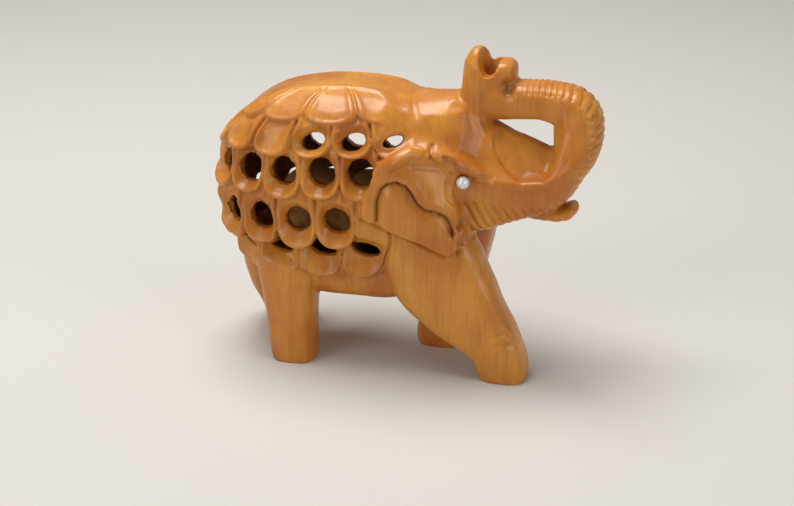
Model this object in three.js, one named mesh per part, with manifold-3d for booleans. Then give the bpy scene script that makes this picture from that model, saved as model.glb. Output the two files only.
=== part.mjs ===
// A carved wooden elephant with a pierced fish-scale body and a smaller elephant loose inside it.
// Millimetres, +X towards the head, +Y the elephant's left, +Z up.
// The shapes are drawn from a line under the shoulder blades, and FRAME_SHIFT then puts the origin
// on the floor, under the middle of the figure's outline.
import * as THREE from 'three';
import { mergeVertices } from 'three/addons/utils/BufferGeometryUtils.js';
import Module from 'manifold-3d';

const wasm = await Module();
wasm.setup();

const FRAME_SHIFT = 0.8;

// ---- Body: a barrel with soft corners that rises a little towards the shoulders, hollow,
// with a wall about five millimetres thick.
const BODY_CENTRE = new THREE.Vector3(-17, 0, 46);
const BODY_HALF = new THREE.Vector3(33.2, 19.3, 27.8);
const BACK_HALF_HEIGHT = 26.8;
const BODY_ROUNDNESS = 2.4;
const BACK_ROUNDNESS = 3.3;
const BODY_RISE = 0.05;
const BELLY_CENTRE = new THREE.Vector3(-13, 0, 30);
const BELLY_HALF = new THREE.Vector3(19, 13.5, 13.1);
const BELLY_ROUNDNESS = 3.6;
const HOLLOW_CENTRE = new THREE.Vector3(-18.5, 0, 45.6);
const HOLLOW_HALF = new THREE.Vector3(27.5, 14.6, 24.5);
const HOLLOW_ROUNDNESS = 2.9;
const HOLLOW_FLOOR = 25;
const HOLLOW_CEILING = 68.6;

// ---- Scale rows: height of the row's holes, where its first hole is, their spacing and number
// on each side. The top row is pierced only along the flank.
const CELL_ROWS = [
  { height: 61.9, first: -0.9, pitch: 9.6, most: 3 },
  { height: 53.7, first: -7.6, pitch: 10.1, most: 9 },
  { height: 41.0, first: -13.8, pitch: 10.5, most: 9 },
  { height: 32.1, first: -6.9, pitch: 11.9, most: 9 },
];
const CELL_HOLE_MOUTH = 3.6;
const CELL_HOLE_THROAT = 2.9;
const CELL_HOLE_SIDES = 6;
const TAIL_BAND = 5.5;

// ---- Eyes.
const EYE_CENTRE = new THREE.Vector3(17.2, 13.35, 52.8);
const EYE_RADIUS = 1.65;
const EYE_SOCKET_GAP = 0.12;

// ---- Inner elephant.
const CALF_FLOOR = HOLLOW_FLOOR + 0.3;
const CALF_MIDDLE_X = -19;

function materialOf(colour, roughness) {
  return new THREE.MeshStandardMaterial({ color: colour, roughness, metalness: 0 });
}

// Gives the solid of a closed three.js shape.
function solidOf(geometry) {
  const plain = geometry.index ? geometry.clone() : geometry;
  plain.deleteAttribute('normal');
  plain.deleteAttribute('uv');
  const merged = mergeVertices(plain, 1e-5);
  return new wasm.Manifold(new wasm.Mesh({
    numProp: 3,
    vertProperties: new Float32Array(merged.attributes.position.array),
    triVerts: new Uint32Array(merged.index.array),
  }));
}

// Gives a named mesh of a solid.
function meshOf(solid, name, material) {
  const data = solid.getMesh();
  const geometry = new THREE.BufferGeometry();
  geometry.setAttribute('position', new THREE.BufferAttribute(new Float32Array(data.vertProperties), 3));
  geometry.setIndex(new THREE.BufferAttribute(new Uint32Array(data.triVerts), 1));
  geometry.translate(FRAME_SHIFT, 0, 0);
  geometry.computeVertexNormals();
  const mesh = new THREE.Mesh(geometry, material);
  mesh.name = name;
  return mesh;
}

function signedPower(value, power) {
  return Math.sign(value) * Math.abs(value) ** power;
}

// A sphere pushed out towards a box: roundness 2 is an ellipsoid, and a larger one is fuller.
// Rise lifts its front and lowers its back, in millimetres per millimetre.
function roundedBlob(centre, half, roundness, around = 32, down = 22, rise = 0) {
  const geometry = new THREE.SphereGeometry(1, around, down);
  geometry.rotateX(Math.PI / 2);
  const place = geometry.attributes.position;
  const point = new THREE.Vector3();
  for (let i = 0; i < place.count; i += 1) {
    point.fromBufferAttribute(place, i);
    const size = (
      Math.abs(point.x) ** roundness + Math.abs(point.y) ** roundness + Math.abs(point.z) ** roundness
    ) ** (1 / roundness);
    point.divideScalar(size).multiply(half);
    point.z += rise * point.x;
    point.add(centre);
    place.setXYZ(i, point.x, point.y, point.z);
  }
  return solidOf(geometry);
}

// A bar with a rounded section that follows a line.
// Each station is [x, y, z, half thickness in the bending plane, half width across it].
function bentBar(stations, { sides = 16, steps = 20, squareness = 2 } = {}) {
  const line = new THREE.CatmullRomCurve3(
    stations.map(([x, y, z]) => new THREE.Vector3(x, y, z)), false, 'centripetal');
  const sizes = new THREE.CatmullRomCurve3(
    stations.map(([, , , thick, wide], i) => new THREE.Vector3(thick, wide, i)), false, 'catmullrom');
  const geometry = new THREE.CylinderGeometry(1, 1, 1, sides, steps, false);
  const place = geometry.attributes.position;
  const point = new THREE.Vector3();
  for (let i = 0; i < place.count; i += 1) {
    point.fromBufferAttribute(place, i);
    const along = THREE.MathUtils.clamp(point.y + 0.5, 0, 1);
    const centre = line.getPoint(along);
    const ahead = line.getTangent(along);
    const size = sizes.getPoint(along);
    const across = new THREE.Vector3(0, 1, 0).addScaledVector(ahead, -ahead.y).normalize();
    const outward = new THREE.Vector3().crossVectors(across, ahead).normalize();
    const reach = Math.hypot(point.x, point.z);
    const angle = Math.atan2(point.z, point.x);
    const a = signedPower(Math.cos(angle), 2 / squareness) * size.x * reach;
    const b = signedPower(Math.sin(angle), 2 / squareness) * size.y * reach;
    centre.addScaledVector(outward, a).addScaledVector(across, b);
    place.setXYZ(i, centre.x, centre.y, centre.z);
  }
  const solid = solidOf(geometry);
  return solid.volume() > 0 ? solid : turnedInsideOut(geometry);
}

function turnedInsideOut(geometry) {
  const order = geometry.index.array;
  for (let i = 0; i < order.length; i += 3) {
    [order[i], order[i + 1]] = [order[i + 1], order[i]];
  }
  return solidOf(geometry);
}

function joined(solids) {
  return solids.reduce((all, next) => all.add(next));
}

// How far out of the body's surface a unit direction has to be shrunk: 1 is on the surface.
// The cross-section is fuller above the middle, where the back is broad and nearly flat.
function bodyReach(x, y, z) {
  const across = z > 0 ? BACK_ROUNDNESS : BODY_ROUNDNESS;
  const section = (Math.abs(y) ** across + Math.abs(z) ** across) ** (1 / across);
  return (Math.abs(x) ** BODY_ROUNDNESS + section ** BODY_ROUNDNESS) ** (1 / BODY_ROUNDNESS);
}

function bodyPoint(unit) {
  const half = unit.z > 0 ? BACK_HALF_HEIGHT : BODY_HALF.z;
  return new THREE.Vector3(
    BODY_CENTRE.x + unit.x * BODY_HALF.x,
    BODY_CENTRE.y + unit.y * BODY_HALF.y,
    BODY_CENTRE.z + unit.z * half + BODY_RISE * unit.x * BODY_HALF.x,
  );
}

// The point of the body's outside at a height, at an angle round the vertical, with its normal.
function bodySurface(height, angle) {
  const rise = height - BODY_CENTRE.z;
  const lift = rise / (rise > 0 ? BACK_HALF_HEIGHT : BODY_HALF.z);
  const pointAt = (turn, level) => {
    let near = 0;
    let far = 1;
    for (let i = 0; i < 30; i += 1) {
      const middle = (near + far) / 2;
      const inside = bodyReach(Math.cos(turn) * middle, Math.sin(turn) * middle, level) < 1;
      if (inside) near = middle;
      else far = middle;
    }
    return bodyPoint(new THREE.Vector3(Math.cos(turn) * near, Math.sin(turn) * near, level));
  };
  const point = pointAt(angle, lift);
  const along = pointAt(angle + 0.01, lift).sub(point);
  const up = pointAt(angle, lift + 0.01).sub(point);
  return { point, normal: new THREE.Vector3().crossVectors(along, up).normalize() };
}

// The middles of the pierced cells of one row, walking from the shoulder round to the tail.
function cellsOfRow({ height, first, pitch, most }) {
  const cells = [];
  let walked = 0;
  let last = null;
  for (let angle = 0; angle <= Math.PI && cells.length < most; angle += 0.01) {
    const drop = last ? BODY_RISE * (last.x - BODY_CENTRE.x) : 0;
    const here = bodySurface(height - drop, angle);
    if (here.point.x < first) {
      if (cells.length) walked += here.point.distanceTo(last);
      if (here.point.y > TAIL_BAND && (walked >= pitch || !cells.length)) {
        cells.push(here);
        walked = 0;
      }
    }
    last = here.point;
  }
  return cells;
}

// A tapered plug that cuts one cell's hole through the wall, wide at the outside.
function cellPlug({ point, normal }) {
  const depth = 11;
  const geometry = new THREE.CylinderGeometry(
    CELL_HOLE_MOUTH, CELL_HOLE_THROAT, depth, CELL_HOLE_SIDES, 1, false);
  geometry.translate(0, 2 - depth / 2, 0);
  const turn = new THREE.Quaternion().setFromUnitVectors(new THREE.Vector3(0, 1, 0), normal);
  geometry.applyQuaternion(turn);
  geometry.translate(point.x, point.y, point.z);
  return solidOf(geometry);
}

function mirroredCell({ point, normal }) {
  return {
    point: new THREE.Vector3(point.x, -point.y, point.z),
    normal: new THREE.Vector3(normal.x, -normal.y, normal.z),
  };
}

function bodyShell() {
  const geometry = new THREE.SphereGeometry(1, 40, 28);
  geometry.rotateX(Math.PI / 2);
  const place = geometry.attributes.position;
  const point = new THREE.Vector3();
  for (let i = 0; i < place.count; i += 1) {
    point.fromBufferAttribute(place, i);
    const outside = bodyPoint(point.divideScalar(bodyReach(point.x, point.y, point.z)));
    place.setXYZ(i, outside.x, outside.y, outside.z);
  }
  return solidOf(geometry);
}

// The belly hangs a little flatter and lower than the rounded sides above it.
function belly() {
  return roundedBlob(BELLY_CENTRE, BELLY_HALF, BELLY_ROUNDNESS, 20, 14);
}

// The hollow has a flat floor for the inner elephant to stand on, and a flat ceiling.
function hollow() {
  const space = roundedBlob(HOLLOW_CENTRE, HOLLOW_HALF, HOLLOW_ROUNDNESS, 28, 20, BODY_RISE);
  const layer = new THREE.BoxGeometry(80, 50, HOLLOW_CEILING - HOLLOW_FLOOR);
  layer.translate(HOLLOW_CENTRE.x, 0, (HOLLOW_CEILING + HOLLOW_FLOOR) / 2);
  return space.intersect(solidOf(layer));
}

function cellPlugs() {
  const plugs = [];
  for (const row of CELL_ROWS) {
    for (const cell of cellsOfRow(row)) {
      plugs.push(cellPlug(cell), cellPlug(mirroredCell(cell)));
    }
  }
  return joined(plugs);
}

function head() {
  const skull = roundedBlob(new THREE.Vector3(9, 0, 55.5), new THREE.Vector3(13.8, 15, 16.8), 2.25, 24, 18);
  const neck = bentBar([
    [-8, 0, 52, 19, 17.5],
    [2, 0, 51.5, 19.5, 17],
    [10, 0, 53, 16, 15],
  ], { steps: 4 });
  const brow = bentBar([
    [8, 0, 64.0, 4.5, 6.0],
    [17, 0, 61.8, 4.6, 5.4],
    [22, 0, 60.6, 4.2, 5.0],
    [28, 0, 57.6, 4.0, 4.6],
  ], { sides: 12, steps: 6 });
  return skull.add(neck).add(brow);
}

// The broad chin runs forward under the trunk's root and up into its bend.
function chin() {
  return bentBar([
    [8, 0, 45.0, 8.5, 10.5],
    [15, 0, 44.2, 7.5, 10.5],
    [20.8, 0, 44.2, 6.5, 10.5],
    [25.8, 0, 45.4, 5.5, 10.4],
    [30.8, 0, 46.9, 5.0, 10.0],
    [34.6, 0, 48.6, 4.9, 9.6],
    [37.6, 0, 51.0, 4.9, 9.2],
    [40.7, 0, 55.4, 4.8, 8.6],
  ], { sides: 16, steps: 12, squareness: 3.4 });
}

// The trunk goes forward, curls up and back over itself, and stands on the forehead.
function trunk() {
  return bentBar([
    [6, 0, 53.4, 11.4, 13.5],
    [17, 0, 53.0, 10.7, 12.0],
    [27, 0, 53.0, 9.4, 10.8],
    [35, 0, 54.2, 8.0, 9.8],
    [41.3, 0, 58.6, 6.6, 8.6],
    [43.9, 0, 65, 5.6, 7.3],
    [41.8, 0, 70.0, 4.9, 6.4],
    [36, 0, 71.2, 4.6, 5.8],
    [29, 0, 71.1, 4.6, 5.6],
    [22, 0, 70.9, 4.8, 5.4],
    [16.4, 0, 71.4, 3.2, 5.0],
  ], { sides: 18, steps: 40, squareness: 2.3 });
}

// The trunk's end turns up into a short cup with a tall rear finger and a low front one.
function trunkTip() {
  const stem = bentBar([
    [17.4, 0, 62, 4.6, 5.2],
    [17.6, 0, 68, 4.5, 5.3],
    [19.0, 0, 74, 5.2, 5.5],
    [20.3, 0, 79.4, 6.0, 5.3],
  ], { sides: 14, steps: 6, squareness: 2.3 });
  const rearFinger = roundedBlob(
    new THREE.Vector3(17.9, 0, 78.6), new THREE.Vector3(3.3, 4.6, 5.2), 2.1, 14, 10);
  const frontFinger = roundedBlob(
    new THREE.Vector3(23.8, 0, 77.2), new THREE.Vector3(3.6, 4.9, 3.5), 2.4, 14, 10);
  return joined([stem, rearFinger, frontFinger]);
}

function nostril() {
  const cone = new THREE.CylinderGeometry(2.9, 1.0, 9, 12, 1, false);
  cone.rotateX(Math.PI / 2);
  cone.rotateY(THREE.MathUtils.degToRad(6));
  cone.translate(21.0, 0, 78.6);
  return solidOf(cone);
}

// The lower lip is a short spoon close under the trunk.
function lowerLip() {
  return bentBar([
    [24, 0, 43.8, 1.9, 5.4],
    [33, 0, 42.9, 1.9, 5.2],
    [39.4, 0, 42.6, 2.0, 4.9],
    [42.0, 0, 43.9, 1.8, 4.2],
    [43.3, 0, 45.6, 1.1, 3.2],
  ], { sides: 12, steps: 9, squareness: 2.6 });
}

// One flap with a thick rolled edge, lying against the shoulder.
function ear(side) {
  const outline = new THREE.Shape();
  outline.moveTo(3.0, 61.5);
  outline.bezierCurveTo(-3.0, 59.5, -6.8, 53.5, -6.8, 43.4);
  outline.lineTo(15.2, 34.2);
  outline.bezierCurveTo(17.0, 36.0, 17.6, 38.5, 17.3, 41.0);
  outline.bezierCurveTo(15.0, 49.0, 13.0, 58.0, 3.0, 61.5);
  const slab = new THREE.ExtrudeGeometry(outline, {
    depth: 7,
    curveSegments: 7,
    bevelEnabled: true,
    bevelThickness: 1.4,
    bevelSize: 1.2,
    bevelOffset: -1.2,
    bevelSegments: 2,
  });
  slab.rotateX(Math.PI / 2);
  slab.translate(0, 20.6 - 1.4, 0);
  const place = slab.attributes.position;
  for (let i = 0; i < place.count; i += 1) {
    const forward = THREE.MathUtils.clamp((place.getX(i) + 2) / 18, 0, 1);
    place.setY(i, place.getY(i) - 3.6 * forward ** 1.6);
  }
  if (side < 0) {
    for (let i = 0; i < place.count; i += 1) place.setY(i, -place.getY(i));
  }
  return closedSolid(slab);
}

// Turns a shape's faces to the outside if they face in.
function closedSolid(geometry) {
  const plain = geometry.clone();
  plain.deleteAttribute('normal');
  plain.deleteAttribute('uv');
  const merged = mergeVertices(plain, 1e-4);
  const solid = solidOf(merged);
  return solid.volume() > 0 ? solid : turnedInsideOut(merged);
}

// Legs of a walking elephant: the right fore leg reaches forward and the left hind leg pushes back.
// Each is drawn a little below the floor and then cut off flat.
function leg(stations) {
  return bentBar(stations, { sides: 16, steps: 12, squareness: 2.4 });
}

function belowFloor() {
  const slab = new THREE.BoxGeometry(140, 80, 10);
  slab.translate(0, 0, -5);
  return solidOf(slab);
}

function rightForeLeg() {
  return leg([
    [5, -8.7, 50, 9.0, 8.2],
    [7, -8.8, 40, 10.6, 8.2],
    [10.0, -9.3, 28, 12.7, 8.0],
    [17.5, -9.4, 18, 10.2, 7.2],
    [24.8, -9.1, 9.5, 6.9, 6.5],
    [27.7, -9, 3.2, 6.6, 6.4],
    [27.9, -9, -1, 6.0, 5.9],
  ]);
}

function leftForeLeg() {
  return leg([
    [5, 9, 50, 9.0, 9.4],
    [9.0, 9.5, 38, 12.0, 9.0],
    [9.0, 9.6, 27, 10.8, 8.2],
    [8.8, 9.2, 16, 8.4, 7.2],
    [8.2, 8.7, 7, 7.0, 6.6],
    [7.8, 8.6, 2.4, 6.8, 6.4],
    [7.8, 8.6, -1, 6.2, 5.9],
  ]);
}

function rightHindLeg() {
  return leg([
    [-28, -8.0, 38, 11.0, 7.0],
    [-28.6, -8.6, 28, 9.6, 7.0],
    [-28.0, -10.2, 17, 7.6, 7.0],
    [-27.4, -10.6, 7, 6.6, 6.5],
    [-27.2, -10.6, 2.4, 6.5, 6.4],
    [-27.2, -10.6, -1, 5.9, 5.9],
  ]);
}

function leftHindLeg() {
  return leg([
    [-33, 8.0, 38, 11.5, 7.0],
    [-37, 8.6, 28, 10.3, 7.0],
    [-38.8, 10.0, 18, 9.2, 7.0],
    [-36.9, 10.4, 9, 7.2, 6.6],
    [-35.2, 10.4, 3, 6.5, 6.4],
    [-34.8, 10.4, -1, 5.9, 5.9],
  ]);
}

// The tail hangs against the rump.
function tail() {
  return bentBar([
    [-43.0, 0, 60, 2.4, 2.6],
    [-48.0, 0, 54, 2.2, 2.4],
    [-49.5, 0.4, 45, 1.6, 1.9],
    [-48.4, 1.0, 36, 1.5, 1.7],
    [-45.2, 1.6, 28, 1.8, 2.3],
    [-42.0, 2.0, 23, 1.4, 1.8],
  ], { sides: 10, steps: 14 });
}

function eyeBall(side, radius) {
  const ball = new THREE.SphereGeometry(radius, 20, 14);
  ball.translate(EYE_CENTRE.x, side * EYE_CENTRE.y, EYE_CENTRE.z);
  return solidOf(ball);
}

function carvedElephant() {
  const outside = joined([
    bodyShell(), belly(), head(), chin(), trunk(), trunkTip(), lowerLip(), ear(1), ear(-1),
    rightForeLeg(), leftForeLeg(), rightHindLeg(), leftHindLeg(), tail(),
  ]);
  const cuts = joined([
    hollow(), cellPlugs(), nostril(), belowFloor(),
    eyeBall(1, EYE_RADIUS + EYE_SOCKET_GAP), eyeBall(-1, EYE_RADIUS + EYE_SOCKET_GAP),
  ]);
  return outside.subtract(cuts);
}

// The smaller elephant that was freed inside the hollow through the cells.
function innerCalf() {
  const x = CALF_MIDDLE_X;
  const z = CALF_FLOOR;
  const parts = [
    roundedBlob(new THREE.Vector3(x - 3, 0, z + 15), new THREE.Vector3(12.5, 7.6, 8.6), 2.3, 20, 14),
    roundedBlob(new THREE.Vector3(x + 9, 0, z + 17), new THREE.Vector3(6.4, 5.8, 6.8), 2.2, 16, 12),
    bentBar([
      [x + 10, 0, z + 16, 3.6, 3.6],
      [x + 14.6, 0, z + 13.6, 2.8, 2.8],
      [x + 16.0, 0, z + 8, 2.0, 2.2],
      [x + 16.6, 0, z + 3.6, 1.6, 1.8],
    ], { sides: 10, steps: 8 }),
  ];
  for (const side of [1, -1]) {
    parts.push(roundedBlob(
      new THREE.Vector3(x + 6, side * 6.0, z + 16.4), new THREE.Vector3(3.8, 1.6, 5.2), 2.2, 12, 8));
    for (const forward of [5.2, -10.4]) {
      parts.push(bentBar([
        [x + forward, side * 4.0, z + 13, 3.6, 3.2],
        [x + forward + 0.3, side * 4.0, z + 6, 2.9, 2.7],
        [x + forward + 0.5, side * 4.0, z, 2.8, 2.7],
      ], { sides: 10, steps: 4 }));
    }
  }
  return joined(parts);
}

const elephant = new THREE.Group();
elephant.name = 'carved_elephant_figurine';
elephant.add(meshOf(carvedElephant(), 'carved_elephant', materialOf(0xa5693a, 0.42)));
elephant.add(meshOf(innerCalf(), 'inner_calf', materialOf(0xb98a58, 0.6)));
elephant.add(meshOf(eyeBall(-1, EYE_RADIUS), 'right_eye', materialOf(0xdfe3e6, 0.15)));
elephant.add(meshOf(eyeBall(1, EYE_RADIUS), 'left_eye', materialOf(0xdfe3e6, 0.15)));

export default elephant;
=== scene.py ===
# %% [markdown]
# # A carved wooden elephant
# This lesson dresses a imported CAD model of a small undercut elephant: one block of pale hardwood,
# carved into a walking elephant with its trunk curled back over the forehead, and hollowed through
# rows of fish-scale cells until a smaller elephant stands loose inside.
# Everything is in metres, +X towards the head, +Z up. The CAD gives the sizes; Blender adds the
# carver's relief and the varnished wood.

import math

import bmesh
import bpy
import numpy as np
from mathutils import Matrix, Vector


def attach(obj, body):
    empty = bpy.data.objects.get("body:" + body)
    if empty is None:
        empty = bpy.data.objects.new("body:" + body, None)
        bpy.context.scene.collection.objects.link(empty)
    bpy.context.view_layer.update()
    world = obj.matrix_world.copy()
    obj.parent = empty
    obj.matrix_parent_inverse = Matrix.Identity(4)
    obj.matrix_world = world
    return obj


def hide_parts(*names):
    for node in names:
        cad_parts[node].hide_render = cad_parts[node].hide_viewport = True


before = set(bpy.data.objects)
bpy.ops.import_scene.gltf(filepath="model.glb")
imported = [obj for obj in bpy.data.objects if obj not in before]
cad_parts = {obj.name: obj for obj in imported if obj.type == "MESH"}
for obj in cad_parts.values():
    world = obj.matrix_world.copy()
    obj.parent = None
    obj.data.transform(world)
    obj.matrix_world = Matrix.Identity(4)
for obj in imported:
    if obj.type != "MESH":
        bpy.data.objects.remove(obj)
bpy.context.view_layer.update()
MM = 0.001

# %% [markdown]
# ## Floor, light and camera
# A pale sweep of floor, one large soft light overhead and a little behind, and a weaker one at the
# front left. On varnished wood a large soft light gives the broad, milky highlights along rounded
# edges that show how the forms turn.

# %% Helpers for colours and materials
def hex_to_linear(code):
    """A web colour such as 'a5693a' as linear red, green, blue and 1."""
    channels = [int(code[i:i + 2], 16) / 255 for i in (0, 2, 4)]
    linear = [c / 12.92 if c <= 0.04045 else ((c + 0.055) / 1.055) ** 2.4 for c in channels]
    return (*linear, 1.0)


def add_node(material, kind, links=(), **settings):
    """Adds a node, sets its properties and sockets, and links (from socket, to input) pairs."""
    node = material.node_tree.nodes.new(kind)
    for name, value in settings.items():
        if hasattr(node, name) and name not in node.inputs:
            setattr(node, name, value)
        else:
            node.inputs[name.replace("_", " ") if name not in node.inputs else name].default_value = value
    for source, target in links:
        material.node_tree.links.new(source, node.inputs[target])
    return node


def new_material(name):
    """A material with nodes, and its shader."""
    material = bpy.data.materials.new(name)
    material.use_nodes = True
    return material, material.node_tree.nodes["Principled BSDF"]


def link(material, source, target):
    """Joins an output socket to an input socket."""
    material.node_tree.links.new(source, target)


print("mid grey as linear light:", round(hex_to_linear("808080")[0], 3))

# %% Floor that curves up behind the figure
FLOOR_HALF = 1.2
WALL_DISTANCE = 0.75
SWEEP_RADIUS = 0.35
SWEEP_STEPS = 16
floor_mesh = bpy.data.meshes.new("floor")
bm = bmesh.new()
edge = [bm.verts.new((-FLOOR_HALF, -FLOOR_HALF, 0)), bm.verts.new((-FLOOR_HALF, WALL_DISTANCE, 0))]
spine = [bm.edges.new(edge)]
arc = bmesh.ops.spin(
    bm, geom=[edge[1]], cent=(-FLOOR_HALF, WALL_DISTANCE, SWEEP_RADIUS), axis=(1, 0, 0),
    angle=math.pi / 2, steps=SWEEP_STEPS, use_merge=False)
top = arc["geom_last"][0]
bm.edges.new((top, bm.verts.new(top.co + Vector((0, 0, FLOOR_HALF)))))
sides = bmesh.ops.extrude_edge_only(bm, edges=bm.edges[:])["geom"]
bmesh.ops.translate(
    bm, verts=[g for g in sides if isinstance(g, bmesh.types.BMVert)], vec=(2 * FLOOR_HALF, 0, 0))
bmesh.ops.recalc_face_normals(bm, faces=bm.faces)
bm.to_mesh(floor_mesh)
bm.free()
for polygon in floor_mesh.polygons:
    polygon.use_smooth = True
floor = bpy.data.objects.new("floor", floor_mesh)
bpy.context.scene.collection.objects.link(floor)
paper, paper_shader = new_material("matt_grey_paper")
paper_shader.inputs["Base Color"].default_value = hex_to_linear("c9c7c3")
paper_shader.inputs["Roughness"].default_value = 0.8
floor_mesh.materials.append(paper)
print("floor of", len(floor_mesh.polygons), "faces")

# %% [markdown]
# ## Three soft lights
# The largest lamp hangs almost straight above, so it draws a soft highlight along every edge that
# turns from the top to the near side: the brow, the rims of the cells, the trunk's root. The two
# fills are weaker and low, and keep the shaded sides readable.

# %% Lights
def soft_light(name, place, size, watts, colour, target=(0, 0, 0.045)):
    """A rectangular area light at a place, turned towards a target."""
    data = bpy.data.lights.new(name, "AREA")
    data.shape = "RECTANGLE"
    data.size, data.size_y = size
    data.energy = watts
    data.color = colour
    lamp = bpy.data.objects.new(name, data)
    lamp.location = place
    lamp.rotation_euler = (Vector(target) - Vector(place)).to_track_quat("-Z", "Y").to_euler()
    bpy.context.scene.collection.objects.link(lamp)


soft_light("overhead_softbox", (-0.16, 0.06, 0.7), (0.5, 0.36), 5.6, (1.0, 0.98, 0.95))
soft_light("front_fill", (-0.55, -0.75, 0.45), (0.6, 0.6), 3.2, (1.0, 0.96, 0.9))
soft_light("side_fill", (0.8, -0.35, 0.35), (0.5, 0.5), 2.2, (1.0, 0.97, 0.93))
world = bpy.data.worlds.new("studio_air")
world.use_nodes = True
air = world.node_tree.nodes["Background"]
air.inputs["Color"].default_value = (0.86, 0.84, 0.82, 1)
air.inputs["Strength"].default_value = 0.24
bpy.context.scene.world = world
bpy.context.scene.view_settings.view_transform = "Standard"

# %% [markdown]
# ## The camera
# A long lens, four times as far away as the figure is long, keeps the legs upright and parallel.
# It looks a little down, from just in front of the shoulder. The place is worked out from two
# angles and a distance, which is easier to reason about than three coordinates.

# %% Camera
VIEW_AZIMUTH = math.radians(15)
VIEW_ELEVATION = math.radians(22)
VIEW_DISTANCE = 0.43
VIEW_TARGET = Vector((-0.0022, 0, 0.027))
SENSOR_WIDTH = 36.0
FIELD_OF_VIEW = math.radians(27)

camera_data = bpy.data.cameras.new("camera")
camera_data.sensor_width = SENSOR_WIDTH
camera_data.lens = SENSOR_WIDTH / 2 / math.tan(FIELD_OF_VIEW / 2)
camera_data.clip_start = 0.01
camera = bpy.data.objects.new("camera", camera_data)
towards_camera = Vector((
    math.sin(VIEW_AZIMUTH) * math.cos(VIEW_ELEVATION),
    -math.cos(VIEW_AZIMUTH) * math.cos(VIEW_ELEVATION),
    math.sin(VIEW_ELEVATION)))
camera.location = VIEW_TARGET + VIEW_DISTANCE * towards_camera
camera.rotation_euler = (-towards_camera).to_track_quat("-Z", "Y").to_euler()
bpy.context.scene.collection.objects.link(camera)
bpy.context.scene.camera = camera
print("camera lens", round(camera_data.lens, 1), "mm")

# %% [markdown]
# ## The rough block: body, head, trunk, ears, legs and tail
# A carver saws and chisels a block into a few big rounded masses before any detail. Here each mass
# is a closed shape: a sphere pushed towards a box for the body and head, and rings bridged along a
# line for the trunk, legs and tail. They overlap, and are fused later into one skin.
# All of these lengths are in millimetres, and are turned to metres at the end.

# %% Tools for rounded masses
FRAME_SHIFT = 0.8


def signed_power(value, power):
    """The value's size raised to a power, with its sign kept."""
    return math.copysign(abs(value) ** power, value)


def blob(bm, centre, half, roundness=2.2, around=40, down=26):
    """A sphere pushed towards a box: roundness 2 is an ellipsoid, and a larger one is fuller."""
    made = bmesh.ops.create_uvsphere(bm, u_segments=around, v_segments=down, radius=1)
    for vert in made["verts"]:
        x, y, z = vert.co
        size = (abs(x) ** roundness + abs(y) ** roundness + abs(z) ** roundness) ** (1 / roundness)
        vert.co = Vector((
            centre[0] + half[0] * x / size, centre[1] + half[1] * y / size,
            centre[2] + half[2] * z / size))


def smooth_line(stations, steps):
    """Points of a curve that passes through the stations, with every number eased alike."""
    data = np.array(stations, float)
    padded = np.vstack([2 * data[0] - data[1], data, 2 * data[-1] - data[-2]])
    knots = np.linspace(0, len(data) - 1, steps + 1)
    rows = []
    for knot in knots:
        i = min(int(knot), len(data) - 2)
        t = knot - i
        a, b, c, d = padded[i:i + 4]
        rows.append(0.5 * (
            2 * b + (c - a) * t + (2 * a - 5 * b + 4 * c - d) * t ** 2
            + (3 * b - a - 3 * c + d) * t ** 3))
    return np.array(rows)


def bar(bm, stations, squareness=2.3, sides=28, steps=36):
    """A bar along stations of [x, y, z, half thickness in the bending plane, half width]."""
    points = smooth_line(stations, steps)
    rings = []
    for i, row in enumerate(points):
        ahead = Vector(points[min(i + 1, steps)][:3] - points[max(i - 1, 0)][:3]).normalized()
        across = (Vector((0, 1, 0)) - ahead * ahead.y).normalized()
        outward = across.cross(ahead).normalized()
        ring = bmesh.ops.create_circle(bm, segments=sides, radius=1)["verts"]
        for vert in ring:
            angle = math.atan2(vert.co.y, vert.co.x)
            a = signed_power(math.cos(angle), 2 / squareness) * row[3]
            b = signed_power(math.sin(angle), 2 / squareness) * row[4]
            vert.co = Vector(row[:3]) + outward * a + across * b
        rings.append(list({edge for vert in ring for edge in vert.link_edges}))
    for near, far in zip(rings, rings[1:]):
        bmesh.ops.bridge_loops(bm, edges=near + far)
    for end in (rings[0], rings[-1]):
        bmesh.ops.edgeloop_fill(bm, edges=end)


print("the figure is drawn in mm and moved", FRAME_SHIFT, "mm forwards at the end")

# %% [markdown]
# ## The body as a formula
# The body has to be known as a formula, not only as a mesh, because the cells are laid out on it
# and every scale is carved square to it. It is a squared ellipsoid: fuller across the back than
# under the belly, and tilted up slightly towards the head. One function says how far out a point
# lies, and its slope gives the outward direction.

# %% The body's own shape
BODY_CENTRE = np.array([-17.0, 0.0, 46.0])
BODY_HALF = np.array([33.2, 19.3, 27.8])
BACK_HALF_HEIGHT = 26.8
BODY_ROUNDNESS = 2.4
BACK_ROUNDNESS = 3.3
BODY_RISE = 0.05
WALL = 4.6
SLOPE_STEP = 0.05


def body_level(points):
    """1 on the body's surface, less inside and more outside, for an array of points in mm."""
    offset = points - BODY_CENTRE
    lift = offset[:, 2] - BODY_RISE * offset[:, 0]
    above = lift > 0
    x = np.abs(offset[:, 0]) / BODY_HALF[0]
    y = np.abs(offset[:, 1]) / BODY_HALF[1]
    z = np.abs(lift) / np.where(above, BACK_HALF_HEIGHT, BODY_HALF[2])
    across = np.where(above, BACK_ROUNDNESS, BODY_ROUNDNESS)
    section = (y ** across + z ** across) ** (1 / across)
    return (x ** BODY_ROUNDNESS + section ** BODY_ROUNDNESS) ** (1 / BODY_ROUNDNESS)


def body_depth(points):
    """Millimetres below the body's surface, and the outward normal there."""
    level = body_level(points)
    slope = np.stack([
        (body_level(points + SLOPE_STEP * axis) - level) / SLOPE_STEP for axis in np.eye(3)], axis=1)
    steep = np.maximum(np.linalg.norm(slope, axis=1), 1e-6)
    return (1 - level) / steep, slope / steep[:, None]


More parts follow.
